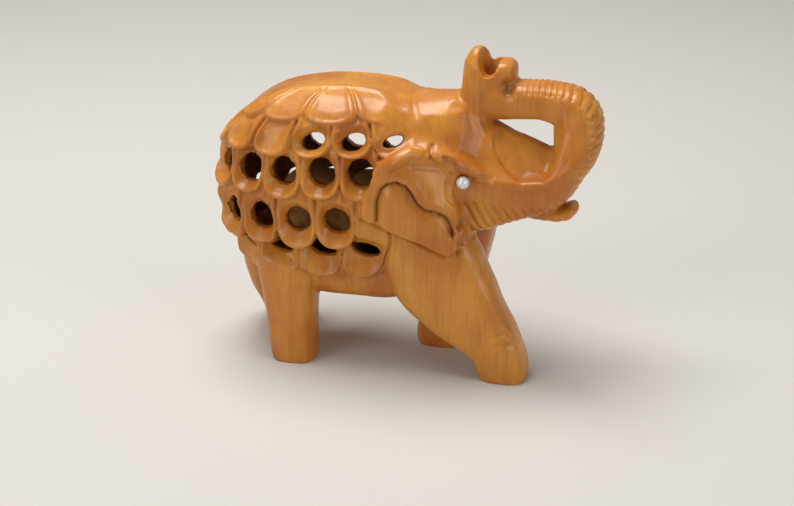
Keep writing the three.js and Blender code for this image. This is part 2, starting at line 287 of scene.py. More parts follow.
def body_blob(bm):
    """A sphere's points, each slid along its ray onto the body's surface."""
    verts = bmesh.ops.create_uvsphere(bm, u_segments=72, v_segments=48, radius=1)["verts"]
    unit = np.array([vert.co for vert in verts])
    probe = BODY_CENTRE + unit * [BODY_HALF[0], BODY_HALF[1], 1] * [1, 1, 0]
    probe[:, 2] += unit[:, 2] * np.where(unit[:, 2] > 0, BACK_HALF_HEIGHT, BODY_HALF[2])
    probe[:, 2] += BODY_RISE * (probe[:, 0] - BODY_CENTRE[0])
    shrink = 1 / body_level(probe)
    for vert, point, factor in zip(verts, probe, shrink):
        vert.co = Vector(BODY_CENTRE + (point - BODY_CENTRE) * factor)


print("body in mm:", [round(float(size), 1) for size in 2 * BODY_HALF])

# %% [markdown]
# ## Head, trunk and lip
# The trunk goes forward, curls up, comes back over itself and stands on the forehead. Each row of
# a line is one station: where its middle is, how thick it is in the plane of the bend and how wide
# it is across. A curve through a few stations bends more evenly than many points set by hand.

# %% Head, trunk and lip
SKULL = ((9, 0, 55.5), (13.8, 15, 16.8), 2.25)
NECK_LINE = [[-8, 0, 52, 19, 17.5], [2, 0, 51.5, 19.5, 17], [10, 0, 53, 16, 15]]
FOREHEAD_LINE = [
    [8, 0, 64.0, 4.5, 6.0], [17, 0, 61.8, 4.6, 5.4], [22, 0, 60.6, 4.2, 5.0],
    [28, 0, 57.6, 4.0, 4.6]]
TRUNK_LINE = [
    [6, 0, 53.4, 11.4, 13.5],
    [17, 0, 53.0, 10.7, 12.0],
    [27, 0, 53.0, 9.4, 10.8],
    [35, 0, 54.2, 8.0, 9.8],
    [41.3, 0, 58.6, 6.6, 8.6],
    [43.9, 0, 65, 5.6, 7.3],
    [41.8, 0, 70.0, 4.9, 6.4],
    [36, 0, 71.2, 4.6, 5.8],
    [29, 0, 71.1, 4.6, 5.6],
    [22, 0, 70.9, 4.8, 5.4],
    [16.4, 0, 71.4, 3.2, 5.0],
]
CHIN_LINE = [
    [8, 0, 45.0, 8.5, 10.5], [15, 0, 44.2, 7.5, 10.5], [20.8, 0, 44.2, 6.5, 10.5],
    [25.8, 0, 45.4, 5.5, 10.4], [30.8, 0, 46.9, 5.0, 10.0], [34.6, 0, 48.1, 4.9, 9.6],
    [38.1, 0, 50.6, 4.9, 9.2], [41.2, 0, 55.3, 4.8, 8.6]]
TRUNK_STEM = [
    [17.4, 0, 62, 4.6, 5.2], [17.6, 0, 68, 4.5, 5.3], [19.0, 0, 74, 5.2, 5.5],
    [20.3, 0, 79.4, 6.0, 5.3]]
REAR_FINGER = ((17.9, 0, 78.6), (3.3, 4.6, 5.2), 2.1)
FRONT_FINGER = ((23.9, 0, 77.4), (3.5, 4.9, 3.5), 3.2)
LOOP_CORNER = [
    [34.0, 0, 68.8, 1.8, 5.3], [37.9, 0, 67.7, 1.8, 5.2], [40.4, 0, 65.2, 1.8, 4.8],
    [41.8, 0, 61.5, 1.8, 4.2]]
LIP_LINE = [
    [24, 0, 43.8, 1.9, 5.4], [33, 0, 42.9, 1.9, 5.2], [39.4, 0, 42.6, 2.0, 4.9],
    [41.8, 0, 43.4, 1.9, 4.4], [43.0, 0, 44.7, 1.3, 3.6]]


def head_masses(bm):
    """The skull, neck and forehead, the trunk with its two finger tips, the chin and the lip."""
    blob(bm, *SKULL)
    bar(bm, NECK_LINE)
    bar(bm, TRUNK_LINE, squareness=3.0, steps=70)
    bar(bm, TRUNK_STEM)
    blob(bm, *REAR_FINGER)
    blob(bm, *FRONT_FINGER)
    bar(bm, CHIN_LINE, squareness=3.4)
    bar(bm, FOREHEAD_LINE)
    bar(bm, LOOP_CORNER, squareness=3.0, steps=16)
    bar(bm, LIP_LINE)


print("stations along the trunk:", len(TRUNK_LINE))

# %% [markdown]
# ## Legs and tail
# The near foreleg strides well forward, the others stand almost straight. A sawn block leaves legs
# that are closer to rounded squares than to circles, which the squareness number gives. They run
# past the floor, and are sawn off level with it later.

# %% Legs and tail
RIGHT_FORE_LEG = [
    [5, -8.6, 50, 9.0, 7.8], [7, -8.6, 40, 10.6, 7.9], [10.0, -9.2, 28, 12.7, 7.9],
    [17.5, -9.4, 18, 10.2, 7.2], [24.8, -9.1, 9.5, 6.9, 6.5], [27.4, -9, 3.2, 6.4, 6.3],
    [27.6, -9, -1, 5.9, 5.9]]
LEFT_FORE_LEG = [
    [5, 8.6, 50, 9.0, 7.8], [9.0, 8.7, 38, 12.0, 7.9], [9.0, 9.3, 27, 10.8, 8.0],
    [8.8, 9.2, 16, 8.4, 7.2], [8.2, 8.7, 7, 7.0, 6.6], [7.8, 8.6, 2.4, 6.8, 6.4],
    [7.8, 8.6, -1, 6.2, 5.9]]
RIGHT_HIND_LEG = [
    [-28.4, -8.0, 38, 10.6, 7.0], [-29.2, -8.6, 28, 8.8, 7.0], [-28.6, -10.2, 17, 6.8, 7.0],
    [-28.0, -10.6, 7, 6.0, 6.5], [-27.7, -10.6, 2.4, 5.9, 6.4], [-27.6, -10.6, -1, 5.4, 5.9]]
LEFT_HIND_LEG = [
    [-33, 8.0, 38, 11.5, 7.0], [-37, 8.6, 28, 10.3, 7.0], [-38.8, 10.0, 18, 9.2, 7.0],
    [-36.9, 10.4, 9, 7.2, 6.6], [-35.2, 10.4, 3, 6.5, 6.4], [-34.8, 10.4, -1, 5.9, 5.9]]
TAIL_LINE = [
    [-43.0, 0, 60, 2.4, 2.6], [-48.0, 0, 54, 2.2, 2.4], [-49.5, 0.4, 45, 1.6, 1.9],
    [-48.4, 1.0, 36, 1.5, 1.7], [-45.2, 1.6, 28, 1.8, 2.3], [-42.0, 2.0, 23, 1.4, 1.8]]


def legs_and_tail(bm):
    """Four squarish legs and a thin tail that lies against the rump."""
    for stations in (RIGHT_FORE_LEG, LEFT_FORE_LEG, RIGHT_HIND_LEG, LEFT_HIND_LEG):
        bar(bm, stations, squareness=3.1)
    bar(bm, TAIL_LINE, squareness=2, sides=16)


print("near foreleg stride in mm:", round(RIGHT_FORE_LEG[-1][0] - RIGHT_FORE_LEG[0][0], 1))

# %% [markdown]
# ## The ears
# Each ear is a pad left standing on the shoulder. Its outline is drawn flat, the sheet is given a
# thickness, and it is bent in a little towards the cheek. The rolled rim is carved later.

# %% Ear pads
EAR_OUTLINE = [
    (3.0, 61.5), (0.2, 60.2), (-2.4, 57.9), (-4.6, 54.6), (-6.1, 50.4), (-6.8, 46.6),
    (-6.8, 43.4), (0.4, 40.5), (8.0, 37.3), (15.2, 34.2), (16.9, 36.6), (17.4, 41.0),
    (16.4, 46.0), (14.6, 51.5), (11.4, 57.0), (7.0, 60.6)]
EAR_OUTSIDE = 20.6
EAR_THICKNESS = 7.0
EAR_ROUNDING = 1.0
EAR_GRID = 2


def ease(low, high, values):
    """0 below low, 1 above high, and a smooth step between."""
    t = np.clip((np.asarray(values, float) - low) / (high - low), 0, 1)
    return t * t * (3 - 2 * t)


def ear_surface(x, z):
    """How far out the ear's face stands: it bends in forwards, and sinks into the cheek on top."""
    forward = 2.8 * np.clip((x + 2) / 18, 0, 1) ** 1.6
    into_cheek = 5.0 * ease(2, 12, (x - 4) * 0.8 + (z - 52) * 0.6)
    return EAR_OUTSIDE - forward - into_cheek


def ear_pad(bm, side):
    """The outline as a face, extruded inwards, rounded along its outer edge, and bent."""
    sheet = bm.faces.new([bm.verts.new((x, 0, z)) for x, z in EAR_OUTLINE])
    bmesh.ops.recalc_face_normals(bm, faces=[sheet])
    pad = bmesh.ops.extrude_face_region(bm, geom=[sheet])["geom"]
    inner = [g for g in pad if isinstance(g, bmesh.types.BMVert)]
    bmesh.ops.translate(bm, verts=inner, vec=(0, -EAR_THICKNESS, 0))
    bmesh.ops.recalc_face_normals(bm, faces=bm.faces)
    bmesh.ops.bevel(
        bm, geom=sheet.edges[:], offset=EAR_ROUNDING, segments=4, profile=0.5, affect="EDGES",
        material=-1)
    for step in range(-5, 17, EAR_GRID):
        bmesh.ops.bisect_plane(
            bm, geom=bm.verts[:] + bm.edges[:] + bm.faces[:], plane_co=(step, 0, 0),
            plane_no=(1, 0, 0))
    for step in range(37, 61, EAR_GRID):
        bmesh.ops.bisect_plane(
            bm, geom=bm.verts[:] + bm.edges[:] + bm.faces[:], plane_co=(0, 0, step),
            plane_no=(0, 0, 1))
    for vert in bm.verts:
        vert.co.y = side * (vert.co.y + float(ear_surface(vert.co.x, vert.co.z)))
    if bm.calc_volume(signed=True) < 0:
        bmesh.ops.reverse_faces(bm, faces=bm.faces)


print("ear outline points:", len(EAR_OUTLINE))

# %% [markdown]
# ## One skin over all the masses
# A carved figure has no seams, so the overlapping masses have to become one surface. The voxel
# remesh fills them with tiny cubes and wraps a new skin round the whole, which joins any number of
# closed shapes; a few smoothing passes then soften the inner corners as a gouge does.

# %% Helpers that read, write and change a mesh
VOXEL = 0.32


def turn_outwards(bm):
    """Faces of moved points keep their old normals until they are refreshed, so refresh first."""
    bm.normal_update()
    bmesh.ops.recalc_face_normals(bm, faces=bm.faces)


def mesh_object(name, bm):
    """Turns a bmesh into an object in the scene."""
    mesh = bpy.data.meshes.new(name)
    bm.to_mesh(mesh)
    bm.free()
    made = bpy.data.objects.new(name, mesh)
    bpy.context.scene.collection.objects.link(made)
    return made


def apply_modifier(target, kind, **settings):
    """Adds a modifier, sets it, and keeps its result in the mesh."""
    modifier = target.modifiers.new(kind.lower(), kind)
    for name, value in settings.items():
        setattr(modifier, name, value)
    depsgraph = bpy.context.evaluated_depsgraph_get()
    result = bpy.data.meshes.new_from_object(target.evaluated_get(depsgraph))
    target.modifiers.remove(modifier)
    old = target.data
    target.data = result
    bpy.data.meshes.remove(old)


def read_points(mesh):
    """All of a mesh's points as one array, which is far faster to work on than single points."""
    co = np.empty(len(mesh.vertices) * 3, np.float32)
    mesh.vertices.foreach_get("co", co)
    return co.reshape(-1, 3).astype(float)


def write_points(mesh, points):
    """Puts an array of points back into its mesh."""
    mesh.vertices.foreach_set("co", points.astype(np.float32).ravel())
    mesh.update()


print("voxel in mm:", VOXEL)

# %% Fuse the masses into one skin
BELLY = ((-13, 0, 30), (19, 13.5, 13.1), 3.6)
SOFTENING = 2.2
masses = bmesh.new()
body_blob(masses)
head_masses(masses)
legs_and_tail(masses)
blob(masses, *BELLY)
turn_outwards(masses)
for side in (1, -1):
    single = bmesh.new()
    ear_pad(single, side)
    ear_mesh = bpy.data.meshes.new("ear")
    single.to_mesh(ear_mesh)
    single.free()
    masses.from_mesh(ear_mesh)
elephant = mesh_object("elephant", masses)
apply_modifier(elephant, "REMESH", mode="VOXEL", voxel_size=VOXEL)
apply_modifier(elephant, "SMOOTH", factor=0.5, iterations=int(SOFTENING / VOXEL))
print("fused skin:", len(elephant.data.vertices), "points")

# %% [markdown]
# ## The planes of the head and the trunk's root
# From the neck to the trunk's bend the block is cut with flat chisel strokes, so it is a roof with
# a flat crown, two slopes and upright sides. A table says where the roof's edges run. Points of the skin
# that stand above it are lowered onto it, as the chisel would.

# %% Chisel the roof
ROOF = np.array([
    # x, edge out from the middle and its height, shoulder out and its height, ridge height
    [-3.0, 16.8, 60.0, 10.6, 69.4, 71.6],
    [6.0, 15.6, 60.2, 10.4, 68.3, 71.4],
    [12.0, 14.3, 60.0, 9.4, 68.3, 71.9],
    [16.0, 12.9, 58.8, 7.0, 69.0, 71.0],
    [18.0, 12.2, 56.4, 6.0, 66.5, 68.0],
    [20.0, 11.7, 54.7, 5.0, 64.6, 66.2],
    [23.0, 11.2, 53.4, 4.2, 63.0, 64.8],
    [26.0, 10.8, 52.6, 3.4, 62.0, 63.4],
    [31.0, 10.3, 52.0, 3.0, 60.2, 61.5],
    [36.0, 9.8, 52.6, 3.0, 58.4, 59.6],
    [41.0, 8.9, 55.2, 3.0, 58.8, 60.0]])
STEM_HALF_WIDTH = 5.4
SCOOP_DEPTH = 1.4


def roof_height(x, out):
    """How high the roof stands at a place along the figure and a distance out from its middle."""
    edge_y, edge_z, line_y, line_z, ridge = [np.interp(x, ROOF[:, 0], ROOF[:, i]) for i in range(1, 6)]
    slope = line_z - (out - line_y) * (line_z - edge_z) / (edge_y - line_y)
    crown = ridge - (ridge - line_z) * (out / line_y) ** 2
    scoop = SCOOP_DEPTH * ease(0, 2.2, x - 20 - (out - 5) * 1.75) * np.clip((edge_y - out) / 2, 0, 1)
    return np.where(out > line_y, slope, crown) - scoop * ease(1.5, 4, out)


points = read_points(elephant.data)
x, out, z = points[:, 0], np.abs(points[:, 1]), points[:, 2]
beside_stem = ease(STEM_HALF_WIDTH, STEM_HALF_WIDTH + 1.2, out)
clear_of_stem = np.maximum(beside_stem, np.maximum(ease(22.2, 23.4, x), 1 - ease(11.4, 12.8, x)))
brow_out = np.interp(x, ROOF[:, 0], ROOF[:, 1])
above_brow = np.where(x < 17, 1 - ease(brow_out, brow_out + 1.5, out), 1)
weight = ease(-4, 4, x) * (1 - ease(36.5, 41, x)) * clear_of_stem * above_brow
weight *= (z > 50) * (z < np.where(x < 21, 76, 66))
above = np.clip(z - roof_height(x, out), 0, None) * weight
points[:, 2] -= above
write_points(elephant.data, points)
apply_modifier(elephant, "REMESH", mode="VOXEL", voxel_size=VOXEL)
apply_modifier(elephant, "SMOOTH", factor=0.5, iterations=2)
print("deepest chisel cut:", round(float(above.max()), 1), "mm")

# %% [markdown]
# ## Hollowing through the cells
# The carver bores every cell with a tapered hole and works the inside out through them. The cells
# are laid out in rows: each row has a height, a first hole next to the shoulder and a spacing
# along the surface. One table of rows drives both the bored holes and the scales carved round them.

# %% The rows of cells
CELL_ROWS = [
    # lift of the hole's middle, lift of the scale's lower tip, first hole's x, spacing, holes
    (23.9, 19.8, -7.0, 9.2, 0),
    (15.9, 11.5, -0.9, 9.6, 3),
    (7.7, 0.7, -7.6, 10.1, 9),
    (-5.2, -12.6, -13.8, 10.5, 9),
    (-14.2, -20.8, -6.9, 11.9, 9)]
FRONT_SLIT = (2.9, 1.4, 26)
SLIT_ROW = 1
OPEN_FRONT_ROW = 3
LOWEST_ROW = 4
FAR_THIGH_HOLE = 3
SCALE_TIP_DEPTH = [3.2, 4.2, 5.0, 5.4, 4.6]
HOLE_SHAPES = [
    # half width, half height and lean, in millimetres and degrees
    (3.0, 2.0, 0), (3.7, 2.5, 26), (3.9, 4.1, 14), (3.8, 3.9, 8), (4.4, 2.6, -24)]
TAIL_HALF_BAND = 5.0
print("rows of scales:", len(CELL_ROWS), "of which pierced:", sum(row[4] > 0 for row in CELL_ROWS))

# %% [markdown]
# ## Walking over the body's surface
# Cells keep an even size only when they are spaced along the surface, the way a strip of paper laid
# on it would measure, and not along a straight axis. Two tables of walked distance are made once:
# one round the body's outline from above, and one down its side from the spine.

# %% Distances walked round and down the body
ring_angle = np.linspace(0, math.pi, 2001)
ring_reach = (
    np.abs(np.cos(ring_angle)) ** BODY_ROUNDNESS + np.abs(np.sin(ring_angle)) ** BODY_ROUNDNESS
) ** (-1 / BODY_ROUNDNESS)
ring_x = BODY_HALF[0] * np.cos(ring_angle) * ring_reach
ring_y = BODY_HALF[1] * np.sin(ring_angle) * ring_reach
ring_walk = np.concatenate([[0], np.cumsum(np.hypot(np.diff(ring_x), np.diff(ring_y)))])

section_lift = np.linspace(BACK_HALF_HEIGHT, -BODY_HALF[2], 4001)
section_across = np.where(section_lift > 0, BACK_ROUNDNESS, BODY_ROUNDNESS)
section_scale = np.where(section_lift > 0, BACK_HALF_HEIGHT, BODY_HALF[2])
section_y = BODY_HALF[1] * np.maximum(
    1 - (np.abs(section_lift) / section_scale) ** section_across, 0) ** (1 / section_across)
section_walk = np.concatenate(
    [[0], np.cumsum(np.hypot(np.diff(section_lift), np.diff(section_y)))])


def walk_down(lift):
    """How far down the body's side a lift is, in mm along the surface from the spine."""
    return np.interp(-np.asarray(lift, float), -section_lift, section_walk)


def ring_size(lift):
    """How much smaller the outline is at a lift than round the middle."""
    half = BACK_HALF_HEIGHT if lift > 0 else BODY_HALF[2]
    return (1 - (abs(lift) / half) ** BODY_ROUNDNESS) ** (1 / BODY_ROUNDNESS)


def cell_walks(row):
    """Where a row's first cell is, the distance to the next, and how many fit before the tail."""
    lift, _, first, pitch, _ = row
    size = ring_size(lift)
    start = np.interp(-(first - BODY_CENTRE[0]) / size, -ring_x, ring_walk) * size
    end = ring_walk[-1] * size - TAIL_HALF_BAND
    count = int((end - start) // pitch) + 1
    return start, pitch, count


def surface_point(lift, walk, side):
    """A point on the body and its outward normal, from a lift, a walk round and a side."""
    size = ring_size(lift)
    angle = np.interp(walk / size, ring_walk, ring_angle)
    low, high = 0.0, 1.2
    for _ in range(40):
        middle = (low + high) / 2
        x = BODY_HALF[0] * math.cos(angle) * middle
        trial = BODY_CENTRE + [x, BODY_HALF[1] * math.sin(angle) * middle, lift + BODY_RISE * x]
        if body_level(trial[None])[0] < 1:
            low = middle
        else:
            high = middle
    trial[1] *= side
    _, normal = body_depth(trial[None])
    return trial, normal[0]


print("walk from spine to belly in mm:", round(float(section_walk[-1]), 1))

# %% [markdown]
# ## The tapered holes and the hollow
# Each hole is a ten-sided plug, narrower inside, and a little uneven because every cut is made by
# hand. The plugs, the hollow and the other cuts are first joined into one cutting tool, so that the
# figure is cut once. A plug that was turned sideways needs its face directions refreshed before it
# is joined, or the join takes it for a hole in the tool.

# %% Bore the holes
HOLE_TAPER = 0.8
HOLE_DEPTH = 12.0
HOLLOW_CENTRE = (-18.5, 0, 45.6)
HOLLOW_HALF = (27.5, 14.6, 24.5)
HOLLOW_ROUNDNESS = 2.9
HOLLOW_FLOOR = 25.0
HOLLOW_CEILING = 68.6
EYE_PLACE = (17.2, 13.35, 52.8)
EYE_RADIUS = 1.65
EYE_PLAY = 0.12
NOSTRIL = (21.0, 0, 78.6)
TIP_NOTCH = ((20.9, -3.4, 82.4), (2.5, 5.2, 5.4), 2.2)
FLOOR_SLAB = (140, 80, 10)
HOLE_SIDES = 10
HOLE_PROUD = 2.0
HOLE_UNEVEN = 0.08
LEAN_UNEVEN = 8
hands = np.random.default_rng(11)


def hole_plug(bm, lift, walk, side, shape):
    """A tapered, slightly uneven ten-sided plug, leaning a little as the knife went round."""
    half_width, half_height, lean = shape
    point, normal = surface_point(lift, walk, side)
    up = (Vector((0, 0, 1)) - Vector(normal) * normal[2]).normalized()
    across = up.cross(Vector(normal))
    made = bmesh.ops.create_cone(
        bm, cap_ends=True, segments=HOLE_SIDES, radius1=HOLE_TAPER, radius2=1.0, depth=HOLE_DEPTH)
    lean = math.radians(lean + LEAN_UNEVEN * (hands.random() - 0.5)) * -side
    for vert in made["verts"]:
        wobble = 1 + HOLE_UNEVEN * (hands.random() - 0.5)
        wide = vert.co.x * half_width * wobble
        tall = vert.co.y * half_height * wobble
        vert.co = (
            Vector(point) + across * (wide * math.cos(lean) - tall * math.sin(lean))
            + up * (wide * math.sin(lean) + tall * math.cos(lean))
            + Vector(normal) * (vert.co.z + HOLE_PROUD - HOLE_DEPTH / 2))


cuts = bmesh.new()
blob(cuts, HOLLOW_CENTRE, HOLLOW_HALF, HOLLOW_ROUNDNESS)
for vert in cuts.verts:
    vert.co.z += BODY_RISE * (vert.co.x - HOLLOW_CENTRE[0])
for height, facing in ((HOLLOW_FLOOR, -1), (HOLLOW_CEILING, 1)):
    sliced = bmesh.ops.bisect_plane(
        cuts, geom=cuts.verts[:] + cuts.edges[:] + cuts.faces[:],
        plane_co=(0, 0, height), plane_no=(0, 0, facing), clear_outer=True)
    rim = [g for g in sliced["geom_cut"] if isinstance(g, bmesh.types.BMEdge)]
    bmesh.ops.edgeloop_fill(cuts, edges=rim)
tools = [cuts]
for number, (row, shape) in enumerate(zip(CELL_ROWS, HOLE_SHAPES)):
    start, pitch, count = cell_walks(row)
    for side in (-1, 1):
        for i in range(min(count, row[4])):
            if number == LOWEST_ROW and side > 0 and i >= FAR_THIGH_HOLE:
                continue
            single = bmesh.new()
            is_slit = number == SLIT_ROW and i == 0
            hole_plug(single, row[0], start + i * pitch, side, FRONT_SLIT if is_slit else shape)
            tools.append(single)
print("holes to bore:", len(tools) - 1)

# %% Nostril, notch, floor cut and eye sockets
nostril = bmesh.new()
bmesh.ops.create_cone(nostril, cap_ends=True, segments=24, radius1=1.0, radius2=2.9, depth=9)
bmesh.ops.rotate(nostril, verts=nostril.verts, cent=(0, 0, 0), matrix=Matrix.Rotation(0.1, 3, "Y"))
bmesh.ops.translate(nostril, verts=nostril.verts, vec=NOSTRIL)
tools.append(nostril)
notch = bmesh.new()
blob(notch, *TIP_NOTCH, around=28, down=18)
tools.append(notch)
floor_slab = bmesh.new()
bmesh.ops.create_cube(floor_slab, size=1)
bmesh.ops.scale(floor_slab, verts=floor_slab.verts, vec=FLOOR_SLAB)
bmesh.ops.translate(floor_slab, verts=floor_slab.verts, vec=(0, 0, -FLOOR_SLAB[2] / 2))
tools.append(floor_slab)
for side in (1, -1):
    socket = bmesh.new()
    bmesh.ops.create_uvsphere(socket, u_segments=32, v_segments=20, radius=EYE_RADIUS + EYE_PLAY)
    bmesh.ops.translate(
        socket, verts=socket.verts, vec=(EYE_PLACE[0], side * EYE_PLACE[1], EYE_PLACE[2]))
    tools.append(socket)
print("cutting tools:", len(tools))

# %% Join the tools and cut once
cutter = None
for tool in tools:
    turn_outwards(tool)
    piece = mesh_object("tool", tool)
    if cutter is None:
        cutter = piece
        continue
    joined = cutter.modifiers.new("join", "BOOLEAN")
    joined.operation, joined.solver, joined.object = "UNION", "MANIFOLD", piece
    result = bpy.data.meshes.new_from_object(
        cutter.evaluated_get(bpy.context.evaluated_depsgraph_get()))
    cutter.modifiers.clear()
    cutter.data = result
    bpy.data.objects.remove(piece)
print("cutter faces:", len(cutter.data.polygons))

apply_modifier(elephant, "BOOLEAN", operation="DIFFERENCE", solver="MANIFOLD", object=cutter)
bpy.data.objects.remove(cutter)
print("after boring:", len(elephant.data.polygons), "faces")
apply_modifier(elephant, "REMESH", mode="VOXEL", voxel_size=VOXEL)
print("after second skin:", len(elephant.data.vertices), "points")

# %% [markdown]
# ## Carving the relief
# Every carved detail is a small push of the skin in or out along its normal: the overlapping
# scales, the rolled ear rim, the ribs of the trunk. Each is a function of where a point lies, so
# the same rule carves both sides.

# %% Scales round the holes
STEP_DEPTH = 0.85
SCALE_RISE = 1.0
STEP_RUN = 5.0
RIM_HEIGHT, RIM_PLACE, RIM_WIDTH = 0.75, 0.95, 0.7
GROOVE_DEPTH, GROOVE_WIDTH = 0.55, 0.45
DISH_DEPTH = 0.55
BACK_RIDGE_OUT = 6.5
BACK_RIDGE_HEIGHT = 0.35
FUNNELS = [(0.6, 1.5), (1.9, 1.9), (2.0, 2.0), (2.0, 2.0), (2.7, 4.4)]


def scale_relief(points):
    """Push in mm at each point of the body's skin, and the step part of it, later painted as shade."""
    offset = points - BODY_CENTRE
    lift = offset[:, 2] - BODY_RISE * offset[:, 0]
    side = np.where(offset[:, 1] > 0, 1, 0)
    angle = np.arctan2(np.abs(offset[:, 1]) / BODY_HALF[1], offset[:, 0] / BODY_HALF[0])
    turn = np.interp(angle, ring_angle, ring_walk)
    down = walk_down(lift)
    push = np.zeros(len(points))
    creases = np.zeros(len(points))
    owner = np.full(len(points), -1)
    previous_edge = np.full(len(points), -50.0)
    for number, row in enumerate(CELL_ROWS):
        hole_lift, tip_lift, _, pitch, pierced = row
        start, pitch, count = cell_walks(row)
        walk = turn * ring_size(hole_lift)
        index = np.clip(np.round((walk - start) / pitch), -3, count)
        aside = walk - start - index * pitch
        wobble = np.sin(index * 2.3 + number * 1.7 + side * 4.1)
        half = pitch / 2
        tip = walk_down(tip_lift) + 0.25 * wobble
        shoulder = tip - SCALE_TIP_DEPTH[number]
        sideways = np.clip(np.abs(aside) / half, 0, 1)
        edge = shoulder + (tip - shoulder) * (1 - sideways ** 2.3) ** (1 / 2.0)
        has_scale = (index >= 0) | (number != OPEN_FRONT_ROW)
        mine = (owner < 0) & (down < edge) & has_scale
        reach = np.where(
            down > shoulder,
            (sideways ** 2.3 + np.clip((down - shoulder) / (tip - shoulder), 0, 2) ** 2.1) ** (1 / 2.2),
            sideways)
        inside = np.clip(1 - reach, 0, 1) * half
        gap = down - previous_edge
        middle = walk_down(hole_lift) + 0.2 * wobble
        half_width, half_height, lean = HOLE_SHAPES[number]
        if number == SLIT_ROW:
            half_height = np.where(index == 0, FRONT_SLIT[1], half_height)
        turn_by = math.radians(lean)
        wide = aside * math.cos(turn_by) + (middle - down) * -math.sin(turn_by)
        tall = aside * math.sin(turn_by) + (middle - down) * math.cos(turn_by)
        rho = np.sqrt((wide / half_width) ** 2 + (tall / half_height) ** 2)
        from_hole = (rho - 1) * (half_width + half_height) / 2
        pierced_here = (index >= 0) & (index < pierced) & (pierced > 0)
        relief = -STEP_DEPTH + SCALE_RISE * ease(0, STEP_RUN, gap)
        relief += RIM_HEIGHT * np.exp(-((inside - RIM_PLACE) / RIM_WIDTH) ** 2)
        relief -= GROOVE_DEPTH * (1 - ease(0.0, GROOVE_WIDTH, inside))
        funnel = -FUNNELS[number][0] * (1 - ease(-0.6, FUNNELS[number][1], from_hole))
        dish = -DISH_DEPTH * (1 - ease(-2.4, 0.9, from_hole))
        step = relief.copy()
        relief += np.where(pierced_here, funnel, dish)
        if number == 0:
            relief = 0.4 * relief - 0.2
        push = np.where(mine, relief, push)
        creases = np.where(mine, step, creases)
        owner = np.where(mine, number, owner)
        previous_edge = np.where((down >= edge) & has_scale, edge, previous_edge)
    below_scales = -0.8 + 0.8 * ease(0, 4.5, down - previous_edge)
    push = np.where(owner < 0, below_scales, push)
    across = np.abs(offset[:, 1])
    on_back = lift > 15
    ridge = BACK_RIDGE_HEIGHT * np.exp(-((across - BACK_RIDGE_OUT) / 0.8) ** 2)
    push = np.where(on_back, push * ease(BACK_RIDGE_OUT, BACK_RIDGE_OUT + 2, across) + ridge, push)
    shoulder_fade = 1 - ease(15.5, 19.5, offset[:, 0] + 4 * ease(10, 16, lift))
    fade = shoulder_fade * (1 - ease(21.5, 25.0, -lift))
    return push * fade, creases * fade


print("deepest funnel in mm:", max(depth for depth, _ in FUNNELS))

# %% Carve the scales
points = read_points(elephant.data)
depth, normal = body_depth(points)
near_skin = (depth > -1.2) & (depth < WALL)
fade_out = np.clip(1 + depth / 1.0, 0, 1)
fade_in = np.clip(1 - depth / WALL, 0, 1)
blend_in = np.where(depth < 0, fade_out, fade_in) * near_skin
push, creases = [relief * blend_in for relief in scale_relief(points)]
# How deep each point lies in a scale's step cut: the wood colour is darkened there as painted shade.
painted_cut_shade = np.clip(-creases - 0.25, 0, 3)
inside = ease(WALL - 2.4, WALL - 1.2, depth) * (body_level(points) < 1)
points += normal * push[:, None]
write_points(elephant.data, points)
print("deepest scale cut:", round(float(push.min()), 2), "mm")

# %% [markdown]
# ## Lines drawn on the side of the head
# The ear's rim, the brow and the folds are lines seen from the side, as a carver pencils them on
# the block. Each point's distance to such a line gives the depth of a groove or the height of a
# roll, so a crease is a few numbers in a list and is easy to move.

# %% Measuring distance to drawn lines
def line_distance(points_2d, line):
    """Shortest distance of each point to a line drawn through a list of points."""
    best = np.full(len(points_2d), 1e9)
    for start, end in zip(line, line[1:]):
        start, span = np.array(start, float), np.subtract(end, start).astype(float)
        along = np.clip((points_2d - start) @ span / (span @ span), 0, 1)
        best = np.minimum(best, np.linalg.norm(points_2d - start - along[:, None] * span, axis=1))
    return best


def inside_outline(points_2d, outline):
    """True where a point lies inside a closed outline."""
    x, z = points_2d.T
    inside = np.zeros(len(x), bool)
    for (ax, az), (bx, bz) in zip(outline, outline[1:] + outline[:1]):
        crossing = (az > z) != (bz > z)
        reach = (bx - ax) * (z - az) / (bz - az if bz != az else 1e-9) + ax
        inside ^= crossing & (x < reach)
    return inside


def skin_normals(mesh):
    """The outward direction at every point of a mesh."""
    normal = np.empty(len(mesh.vertices) * 3, np.float32)
    mesh.vertices.foreach_get("normal", normal)
    return normal.reshape(-1, 3).astype(float)


print("a unit square holds its middle:", bool(inside_outline(
    np.array([[0.5, 0.5]]), [(0, 0), (1, 0), (1, 1), (0, 1)])[0]))

# %% [markdown]
# ## The ear's rim and lobes
# The rim is the band left standing outside a deep, m-shaped groove, and the flap inside it is cut
# lower, with two soft swellings. Under the ear a narrow groove parts it from the leg.

# %% The ear's rolled rim and lobes
EAR_GROOVE = [
    (-3.5, 40.6), (-3.2, 44.7), (-3.1, 48.4), (-2.1, 51.6), (-0.4, 53.1), (2.2, 53.7), (4.6, 52.7),
    (6.2, 50.6), (7.4, 48.3), (9.3, 46.8), (12.0, 46.4), (14.2, 45.3), (15.6, 43.2), (16.3, 40.5)]
EAR_FLAP = EAR_GROOVE + [(16.4, 36.0), (15.0, 34.4), (8.0, 37.2), (0.4, 40.2)]
EAR_UNDERSIDE = [(-7.2, 42.9), (0.2, 39.8), (8.0, 36.6), (15.2, 33.6), (16.9, 35.6)]


